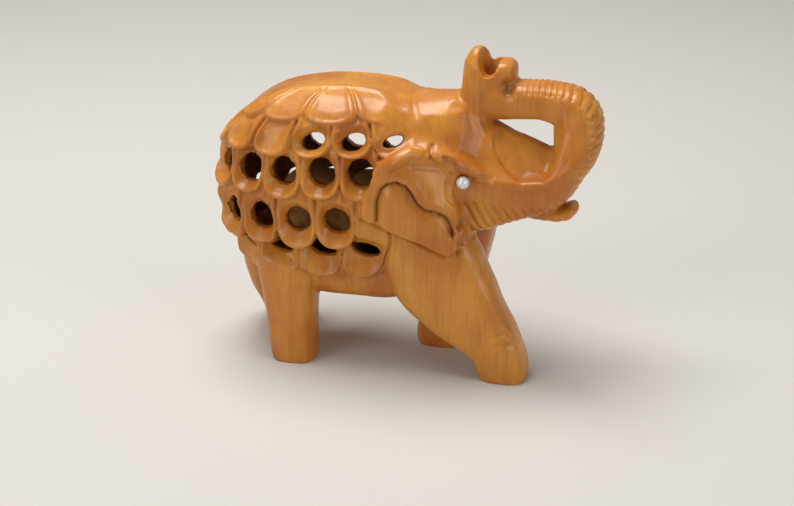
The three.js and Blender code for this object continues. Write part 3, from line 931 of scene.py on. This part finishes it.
def ear_relief(points):
    """Push in mm on the ears' faces, and the groove beneath them."""
    flat = points[:, [0, 2]]
    out = np.abs(points[:, 1])
    face = ease(1.6, 0.5, ear_surface(points[:, 0], points[:, 2]) - out)
    face *= (points[:, 0] > -8) & (points[:, 0] < 19) & (points[:, 2] > 33) & (points[:, 2] < 63)
    near = face > 0
    push = np.zeros(len(points))
    part = flat[near]
    to_groove = line_distance(part, EAR_GROOVE)
    flap = inside_outline(part, EAR_FLAP)
    sunk = -0.95 * (1 - ease(0, 3.0, to_groove))
    lobes = 0.45 * np.exp(-((part[:, 0] - 0.6) / 2.8) ** 2 - ((part[:, 1] - 46.5) / 5.0) ** 2)
    lobes += 0.4 * np.exp(-((part[:, 0] - 11.5) / 3.4) ** 2 - ((part[:, 1] - 41.5) / 3.2) ** 2)
    lobes -= 0.35 * np.exp(-((part[:, 0] - 6.0 + (part[:, 1] - 44) * 0.3) / 1.6) ** 2)
    rim = 0.32 * np.exp(-((to_groove - 1.6) / 0.9) ** 2)
    detail = np.where(flap, sunk + lobes * ease(0, 2, to_groove), rim)
    detail -= 0.75 * np.exp(-(to_groove / 0.36) ** 2)
    push[near] = detail * face[near]
    beneath = (out > 11) & (points[:, 0] > -9) & (points[:, 0] < 19) & ~near
    gap = line_distance(flat[beneath], EAR_UNDERSIDE)
    push[beneath] = -0.8 * np.exp(-(gap / 0.5) ** 2)
    return push


print("points along the ear's groove:", len(EAR_GROOVE))

# %% [markdown]
# ## Brow and eye
# A thick roll runs from the top of the ear over the eye, is notched once, and carries on as the
# edge of the trunk's root. Light catches on it first, so it decides how the face reads. The eye is
# set into two short knife cuts, one at its corner and one behind it.

# %% Brow, eye corners and the cheek's crease
BROW_HEIGHT, ROOT_HEIGHT, BROW_WIDTH = 1.5, 0.8, 1.6
BROW = [(0.2, 57.0), (1.9, 58.6), (4.8, 60.4), (8.0, 60.0), (10.8, 59.2), (14.8, 58.0), (18.2, 56.0),
        (20.4, 54.4), (25.8, 52.6), (31.0, 52.0), (36.0, 52.6), (41.4, 55.0), (45.0, 59.2)]
BROW_NOTCH = [(9.3, 58.9), (9.5, 61.9)]
EYE_CORNER = [(19.3, 53.3), (21.6, 53.9), (23.6, 53.3)]
EYE_LID = [(14.4, 55.2), (13.7, 52.8), (14.0, 50.0), (15.2, 48.0)]
JAW = [(14.0, 47.6), (15.2, 44.4), (17.2, 41.8)]


def head_relief(points):
    """Push in mm for the brow, the eye's cuts, the jaw and the hollow under the trunk's tip."""
    flat = points[:, [0, 2]]
    out = np.abs(points[:, 1])
    push = np.zeros(len(points))
    near = (out > 6) & (flat[:, 0] > -2) & (flat[:, 0] < 47) & (flat[:, 1] > 39) & (flat[:, 1] < 70)
    near &= out < ear_surface(points[:, 0], points[:, 2]) + 0.6
    part = flat[near]
    brow = line_distance(part, BROW)
    height = np.interp(part[:, 0], [p[0] for p in BROW], [p[1] for p in BROW])
    over = part[:, 1] - height
    reach = ease(-1.5, 1.5, part[:, 0]) * (1 - ease(20.0, 23.0, part[:, 0]))
    root = ease(20.0, 23.0, part[:, 0]) * (1 - ease(42.0, 45.0, part[:, 0]))
    detail = (BROW_HEIGHT * reach + ROOT_HEIGHT * root) * np.exp(-(brow / BROW_WIDTH) ** 2)
    detail -= 0.4 * np.exp(-((over - 3.6) / 1.7) ** 2) * reach
    detail -= 0.5 * np.exp(-((over + 2.3) / 1.0) ** 2) * reach
    detail -= 0.8 * np.exp(-(line_distance(part, BROW_NOTCH) / 0.45) ** 2)
    detail -= 0.75 * np.exp(-(line_distance(part, EYE_CORNER) / 0.6) ** 2)
    detail -= 0.45 * np.exp(-(line_distance(part, EYE_LID) / 0.45) ** 2)
    detail -= 0.35 * np.exp(-(line_distance(part, JAW) / 0.5) ** 2)
    push[near] = detail
    tip = (out > 2.5) & (flat[:, 0] > 19) & (flat[:, 0] < 28) & (flat[:, 1] > 70)
    hollow = np.hypot((flat[tip, 0] - 25.8) / 2.0, (flat[tip, 1] - 75.0) / 2.6)
    push[tip] -= 1.4 * np.exp(-hollow ** 2)
    return push


print("brow runs in mm from", BROW[0][0], "to", BROW[-1][0])

# %% [markdown]
# ## Ribs and flutes on the trunk
# The skin of the trunk is shown by fine cuts across the outside of its bend, evenly spaced along
# its curve, and by broader slanting flutes under its root. Both are repeating waves with a sharp
# valley and a round top, which is the shape that a small gouge leaves.

# %% Ribs across the trunk
RIB_PITCH = 1.35
RIB_DEPTH = 0.42
FLUTE_PITCH = 2.3
FLUTE_DEPTH = 0.55
trunk_curve = smooth_line(TRUNK_LINE, 240)
trunk_walk = np.concatenate(
    [[0], np.cumsum(np.linalg.norm(np.diff(trunk_curve[:, [0, 2]], axis=0), axis=1))])


def trunk_relief(points, normal):
    """Fine ribs over the outside of the bend, and slanting flutes underneath its root."""
    push = np.zeros(len(points))
    near = (points[:, 0] > 13) & (points[:, 2] > 37) & (points[:, 2] < 79)
    near &= (points[:, 0] > 25) | (points[:, 2] < 53)
    part, facing = points[near], normal[near]
    nearest = np.zeros(len(part), int)
    best = np.full(len(part), 1e9)
    for i in range(len(trunk_curve)):
        gap = np.hypot(part[:, 0] - trunk_curve[i, 0], part[:, 2] - trunk_curve[i, 2])
        closer = gap < best
        best[closer], nearest[closer] = gap[closer], i
    walk = trunk_walk[nearest]
    ahead = np.roll(trunk_curve, -1, axis=0) - trunk_curve
    ahead = ahead[np.minimum(nearest, len(trunk_curve) - 2)]
    outward = np.stack([ahead[:, 2], -ahead[:, 0]], axis=1)
    outward /= np.linalg.norm(outward, axis=1)[:, None]
    on_outside = facing[:, 0] * outward[:, 0] + facing[:, 2] * outward[:, 1]
    wave = np.abs(np.sin(math.pi * (walk + 0.12 * np.abs(part[:, 1])) / RIB_PITCH))
    ribs = -RIB_DEPTH * (1 - wave) ** 1.3 * ease(0.25, 0.6, on_outside) * ease(24, 30, walk)
    ribs *= 1 - ease(60.0, 64.0, walk)
    slanting = part[:, 0] + 0.55 * (part[:, 2] - 44)
    flute = np.abs(np.sin(math.pi * slanting / FLUTE_PITCH))
    flutes = -FLUTE_DEPTH * (1 - flute) ** 1.2 * (1 - ease(45.4, 47.6, part[:, 2]))
    flutes *= ease(14, 16, part[:, 0]) * (1 - ease(36, 39, part[:, 0])) * ease(4, 6, np.abs(part[:, 1]))
    push[near] = ribs + flutes
    return push


print("ribs round the bend: about", int(trunk_walk[-1] / RIB_PITCH))

# %% [markdown]
# ## Ankle folds and knife marks
# Two short folds wrap the striding ankle. Over everything lies a slow, uneven swell of a tenth of
# a millimetre: no hand-cut surface is perfectly even, and without it highlights look machined.

# %% Folds at the ankle, and the marks of the knife everywhere
KNIFE_DEPTH = 0.11
ANKLE_FOLDS = [
    [(24.8, 12.4), (26.4, 13.6), (28.2, 13.9), (30.2, 13.2)],
    [(26.4, 10.6), (28.4, 11.3), (30.6, 10.6)]]


def ankle_relief(points):
    """Push in mm for the folds at the near ankle."""
    push = np.zeros(len(points))
    near = (points[:, 1] < -13) & (points[:, 2] < 18) & (points[:, 0] > 20)
    for fold in ANKLE_FOLDS:
        push[near] -= 0.3 * np.exp(-(line_distance(points[near][:, [0, 2]], fold) / 0.45) ** 2)
    return push


def knife_marks(points, strength=KNIFE_DEPTH):
    """A slow, uneven swell with soft facets, so no surface is a perfect machine curve."""
    x, y, z = points.T
    swell = np.sin(x / 2.9 + 1.3 * np.sin(z / 4.1)) * np.sin(z / 3.3 + 0.8 * np.sin(y / 3.7))
    swell += 0.7 * np.sin(x / 5.3 - z / 4.4 + np.sin(y / 2.6)) * np.sin(y / 4.9 + z / 6.1)
    return strength * swell


print("knife marks in mm:", KNIFE_DEPTH)

# %% Carve all of the details
normal = skin_normals(elephant.data)
cuts_made = {
    "ears": ear_relief(points), "head": head_relief(points),
    "trunk": trunk_relief(points, normal), "ankle": ankle_relief(points)}
off_floor = ease(0.3, 2.5, points[:, 2])
inside_hollow = depth > WALL - 0.4
extra = sum(cuts_made.values()) * off_floor
extra += knife_marks(points) * off_floor * ~inside_hollow
points += normal * extra[:, None]
# Every inward cut of the relief is darkened too, as painted shade.
painted_cut_shade = np.maximum(painted_cut_shade, np.clip(-extra, 0, 3))
write_points(elephant.data, points)
print("relief:", {name: round(float(cut.min()), 2) for name, cut in cuts_made.items()})

# %% [markdown]
# ## Into the shared frame
# Two numbers are kept on every point for the material: how deep it lies in a cut, painted as shade,
# and whether it belongs to the raw inside, also painted darker as shade. Then the figure is turned
# to metres and moved to its place, and flat stretches are thinned out so that the triangles are
# spent on the carving.

# %% Move to the frame and thin out
MOST_TRIANGLES = 190000
# Painted shade: the depth of each cut, which the material turns into a darker colour.
shade_in_cuts = elephant.data.attributes.new("painted_cut_shade", "FLOAT", "POINT")
shade_in_cuts.data.foreach_set("value", np.clip(painted_cut_shade, 0, 3).astype(np.float32))
rough_side = elephant.data.attributes.new("inside", "FLOAT", "POINT")
rough_side.data.foreach_set("value", inside.astype(np.float32))
points = read_points(elephant.data)
points[:, 0] += FRAME_SHIFT
write_points(elephant.data, points * MM)
apply_modifier(elephant, "TRIANGULATE")
triangles = len(elephant.data.polygons)
if triangles > MOST_TRIANGLES:
    apply_modifier(elephant, "DECIMATE", ratio=MOST_TRIANGLES / triangles)
print("triangles:", triangles, "thinned to", len(elephant.data.polygons))

# %% [markdown]
# ## Wood, varnish and painted shade
# The block's grain stands upright. Streaks of darker and lighter fibre run up it, with slow
# patches of colour several millimetres wide. The cuts are painted browner as shade, deeper ones
# more, and a thin, slightly uneven coat of varnish lies over everything.

# %% Varnished wood
STREAKS_PER_METRE = 900


def varnished(name, light, middle, dark, shade_in_cuts, roughness, coat, offset=(0, 0, 0)):
    """Wood with an upright grain and a coat, painted darker as shade where painted_cut_shade is high."""
    material, shader = new_material(name)
    place = add_node(material, "ShaderNodeTexCoord").outputs["Object"]

    def noise(scale, detail, along=1.0, roughness=0.55):
        """Noise stretched along the upright grain: a small number along it gives long fibres."""
        mapped = add_node(
            material, "ShaderNodeMapping", links=[(place, "Vector")],
            Scale=(scale, scale, scale * along), Location=offset)
        return add_node(
            material, "ShaderNodeTexNoise", links=[(mapped.outputs["Vector"], "Vector")],
            Scale=1.0, Detail=detail, Roughness=roughness).outputs["Fac"]

    def blend(factor, first, second):
        """Mixes two colours, each of them a fixed colour or another node's output."""
        mix = add_node(material, "ShaderNodeMix", data_type="RGBA")
        for socket, value in ((mix.inputs[0], factor), (mix.inputs[6], first), (mix.inputs[7], second)):
            if isinstance(value, bpy.types.NodeSocket):
                link(material, value, socket)
            else:
                socket.default_value = value
        return mix.outputs[2]

    def spread(source, low, high, to_low=0.0, to_high=1.0):
        """Stretches a part of a pattern's range to new limits."""
        ranged = add_node(
            material, "ShaderNodeMapRange", links=[(source, "Value")],
            From_Min=low, From_Max=high, To_Min=to_low, To_Max=to_high)
        return ranged.outputs["Result"]

    streaks = noise(STREAKS_PER_METRE, 4, along=0.045)
    fine = noise(2600, 3, along=0.03)
    patches = noise(75, 3, along=0.6)
    colour = blend(spread(patches, 0.36, 0.66), hex_to_linear(middle), hex_to_linear(light))
    colour = blend(spread(streaks, 0.48, 0.74, 0.0, 0.3), colour, hex_to_linear(dark))
    colour = blend(spread(fine, 0.5, 0.75, 0.0, 0.18), colour, hex_to_linear(dark))
    painted_cut_shade_read = add_node(material, "ShaderNodeAttribute", attribute_name="painted_cut_shade")
    painted_shade_amount = spread(painted_cut_shade_read.outputs["Fac"], 0.35, 1.9, 0.0, 0.8)
    # Painted shade: deeper cuts are mixed towards the shade colour.
    colour = blend(painted_shade_amount, colour, hex_to_linear(shade_in_cuts))
    link(material, colour, shader.inputs["Base Color"])
    rough = spread(noise(240, 3), 0.3, 0.7, roughness - 0.06, roughness + 0.08)
    link(material, rough, shader.inputs["Roughness"])
    bump = add_node(
        material, "ShaderNodeBump", links=[(streaks, "Height")], Strength=0.35, Distance=0.00005)
    bump_fine = add_node(
        material, "ShaderNodeBump", links=[(noise(1400, 2), "Height"), (bump.outputs["Normal"], "Normal")],
        Strength=0.2, Distance=0.00006)
    link(material, bump_fine.outputs["Normal"], shader.inputs["Normal"])
    shader.inputs["IOR"].default_value = 1.42
    shader.inputs["Coat Weight"].default_value = coat
    shader.inputs["Coat Roughness"].default_value = 0.19
    return material


print("streaks repeat about every", round(1 / MM / STREAKS_PER_METRE, 1), "mm across the grain")

# %% Wood outside, raw wood inside
# Honey brown under a worn, satin varnish: warm where it is lit, with soft milky highlights. The fourth
# colour is the painted shade laid in the cuts.
wood = varnished("varnished_wood", "cf8c2c", "b46718", "7f400e", "3f1c07", 0.48, 0.42)
elephant.data.materials.clear()
elephant.data.materials.append(wood)
# Never varnished, with no shine at all, and painted darker as shade so the holes read as deep.
raw_wood_in_shade = varnished("raw_wood_painted_shade", "8a5424", "6b3c16", "48260d", "2a1505", 0.8, 0.0, offset=(1, 4, 2))
elephant.data.materials.append(raw_wood_in_shade)
inside = np.zeros(len(elephant.data.vertices), np.float32)
elephant.data.attributes["inside"].data.foreach_get("value", inside)
corners = np.zeros(len(elephant.data.polygons) * 3, np.int32)
elephant.data.polygons.foreach_get("vertices", corners)
raw_faces = (inside[corners].reshape(-1, 3).mean(axis=1) > 0.5).astype(np.int32)
elephant.data.polygons.foreach_set("material_index", raw_faces)
elephant.data.polygons.foreach_set("use_smooth", np.ones(len(elephant.data.polygons), bool))
print("faces inside the hollow:", int(raw_faces.sum()))
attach(elephant, "elephant")
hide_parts("carved_elephant")

# %% [markdown]
# ## The little elephant inside
# It is freed from the same block through the cells, with only a narrow knife, so it is left as
# flat cut facets of bare, paler wood. Thinning a smooth skin down to a few large triangles and
# shading them flat gives exactly that whittled look.

# %% The calf's masses
CALF_FLOOR = 25.3
CALF_MIDDLE = -19.0
CALF_FACETS = 900
CALF_KNIFE = 0.45


def calf_masses(bm):
    """A body, a head, a trunk that hangs to the floor, two ears and four legs."""
    x, z = CALF_MIDDLE, CALF_FLOOR
    blob(bm, (x - 3, 0, z + 15), (12.3, 7.4, 8.4), 2.3)
    blob(bm, (x + 9, 0, z + 17), (6.2, 5.6, 6.6), 2.2)
    bar(bm, [[x + 10, 0, z + 16, 3.6, 3.6], [x + 14.4, 0, z + 13.6, 2.8, 2.8],
             [x + 15.8, 0, z + 8, 2.0, 2.2], [x + 16.4, 0, z + 3.8, 1.6, 1.8]], sides=14, steps=12)
    for side in (1, -1):
        blob(bm, (x + 6, side * 5.9, z + 16.4), (3.8, 1.5, 5.2), 2.3)
        for forward in (5.2, -10.4):
            bar(bm, [[x + forward, side * 4, z + 13, 3.6, 3.2],
                     [x + forward + 0.3, side * 4, z + 6, 2.9, 2.7],
                     [x + forward + 0.5, side * 4, z + 0.1, 2.8, 2.7]], sides=14, steps=8)


print("calf stands on the hollow's floor at", CALF_FLOOR, "mm")

# %% Whittle it into facets
calf_block = bmesh.new()
calf_masses(calf_block)
turn_outwards(calf_block)
calf = mesh_object("calf", calf_block)
apply_modifier(calf, "REMESH", mode="VOXEL", voxel_size=0.4)
apply_modifier(calf, "SMOOTH", factor=0.5, iterations=3)
points = read_points(calf.data)
above_feet = ease(CALF_FLOOR, CALF_FLOOR + 2, points[:, 2])
points += skin_normals(calf.data) * knife_marks(points, CALF_KNIFE)[:, None] * above_feet[:, None]
points[:, 2] = np.maximum(points[:, 2], CALF_FLOOR)
points[:, 0] += FRAME_SHIFT
write_points(calf.data, points * MM)
apply_modifier(calf, "DECIMATE", ratio=CALF_FACETS / (2 * len(calf.data.polygons)))
# Pale fibres between brown ones and no varnish: dry, flat cuts that catch a little light.
# The fourth colour would be painted shade in the cuts, but the calf carries no cut depth.
bare = varnished("bare_wood", "bd8648", "9c662f", "6c3f19", "3a1e0a", 0.7, 0.0, offset=(3, 1, 2))
calf.data.materials.clear()
calf.data.materials.append(bare)
calf.data.polygons.foreach_set("material_index", np.zeros(len(calf.data.polygons), np.int32))
calf.data.polygons.foreach_set("use_smooth", np.zeros(len(calf.data.polygons), bool))
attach(calf, "calf")
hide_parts("inner_calf")
print("calf facets:", len(calf.data.polygons))

# %% [markdown]
# ## Bead eyes
# Each eye is a small pearl-lacquered bead, pressed into a drilled socket with a drop of glue. The
# bead's profile is drawn once and spun round its own axis: a full round front, and a dimple at the
# back where the bead was drilled.

# %% Pearl lacquer
# Nearly white with a grey cloud in it, and a clear coat: it gives one small, sharp highlight.
pearl, pearl_shader = new_material("pearl_lacquer")
place = add_node(pearl, "ShaderNodeTexCoord").outputs["Object"]
cloud = add_node(pearl, "ShaderNodeTexNoise", links=[(place, "Vector")], Scale=1400.0, Detail=3.0)
tint = add_node(pearl, "ShaderNodeMix", links=[(cloud.outputs["Fac"], 0)], data_type="RGBA")
tint.inputs[6].default_value = hex_to_linear("c6ccd0")
tint.inputs[7].default_value = hex_to_linear("eef1f0")
link(pearl, tint.outputs[2], pearl_shader.inputs["Base Color"])
sheen = add_node(
    pearl, "ShaderNodeMapRange", links=[(cloud.outputs["Fac"], "Value")], From_Min=0.3, From_Max=0.7,
    To_Min=0.14, To_Max=0.26)
link(pearl, sheen.outputs["Result"], pearl_shader.inputs["Roughness"])
pearl_shader.inputs["IOR"].default_value = 1.55
pearl_shader.inputs["Coat Weight"].default_value = 0.6
pearl_shader.inputs["Coat Roughness"].default_value = 0.08
pearl_shader.inputs["Metallic"].default_value = 0.15
print("pearl nodes:", len(pearl.node_tree.nodes))

# %% Spin the beads
BEAD_STEPS = 24
DIMPLE_DEPTH = 0.16
MERGE_DISTANCE = 0.004


def bead_eye(name, side):
    """A bead spun about the line through its drill hole, lying in its socket."""
    bm = bmesh.new()
    profile = []
    for i in range(BEAD_STEPS + 1):
        angle = math.pi * i / BEAD_STEPS
        radius = EYE_RADIUS * (0.985 + 0.015 * math.cos(4 * angle))
        dimple = DIMPLE_DEPTH * math.exp(-((math.pi - angle) / 0.2) ** 2)
        profile.append(bm.verts.new((radius * math.sin(angle), 0, (radius - dimple) * math.cos(angle))))
    edges = [bm.edges.new(pair) for pair in zip(profile, profile[1:])]
    bmesh.ops.spin(
        bm, geom=profile + edges, cent=(0, 0, 0), axis=(0, 0, 1), angle=2 * math.pi, steps=40,
        use_merge=True)
    bmesh.ops.remove_doubles(bm, verts=bm.verts, dist=MERGE_DISTANCE)
    bmesh.ops.rotate(
        bm, verts=bm.verts, cent=(0, 0, 0), matrix=Matrix.Rotation(-side * math.pi / 2, 3, "X"))
    bmesh.ops.rotate(bm, verts=bm.verts, cent=(0, 0, 0), matrix=Matrix.Rotation(0.5, 3, "Y"))
    bmesh.ops.translate(
        bm, verts=bm.verts, vec=(EYE_PLACE[0] + FRAME_SHIFT, side * EYE_PLACE[1], EYE_PLACE[2]))
    bmesh.ops.scale(bm, verts=bm.verts, vec=(MM, MM, MM))
    bmesh.ops.recalc_face_normals(bm, faces=bm.faces)
    bead = mesh_object(name, bm)
    bead.data.polygons.foreach_set("use_smooth", np.ones(len(bead.data.polygons), bool))
    bead.data.materials.append(pearl)
    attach(bead, "elephant")
    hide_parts(name)
    return bead


for name, side in (("right_eye", -1), ("left_eye", 1)):
    bead = bead_eye(name, side)
    print(name, "faces:", len(bead.data.polygons))
